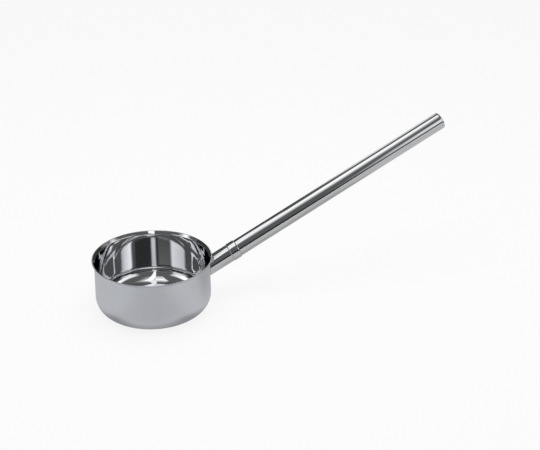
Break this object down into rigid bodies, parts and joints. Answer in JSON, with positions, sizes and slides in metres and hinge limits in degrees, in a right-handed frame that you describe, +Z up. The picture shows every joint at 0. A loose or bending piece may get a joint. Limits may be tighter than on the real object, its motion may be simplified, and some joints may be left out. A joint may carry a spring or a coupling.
{
  "type": "water dipper",
  "caption": "Stainless steel water dipper: a round flat-based cup with a flared lip and a straight tubular handle that rises from its wall through a welded neck and a joint ring.",
  "frame": {"origin": "centre of the cup's flat underside, on the surface that the dipper stands on", "axes": "+Z up along the cup's axis; +X from the cup towards the handle, which rises in the XZ plane; +Y completes the right-handed frame"},
  "size_m": [0.4789, 0.15, 0.2032],
  "materials": {
    "cup_steel": "satin outside, mirror polish inside",
    "polished_steel": "mirror polish",
    "weld_steel": "ground and polished weld",
    "inner_steel": "plain mill finish"
  },
  "bodies": {
    "root": {"cup": "cup_steel", "neck_tube": "polished_steel", "saddle_weld": "weld_steel", "joint_spigot": "inner_steel", "joint_ring": "polished_steel", "handle_pipe": "polished_steel", "end_cap": "polished_steel"}
  },
  "joints": []
}
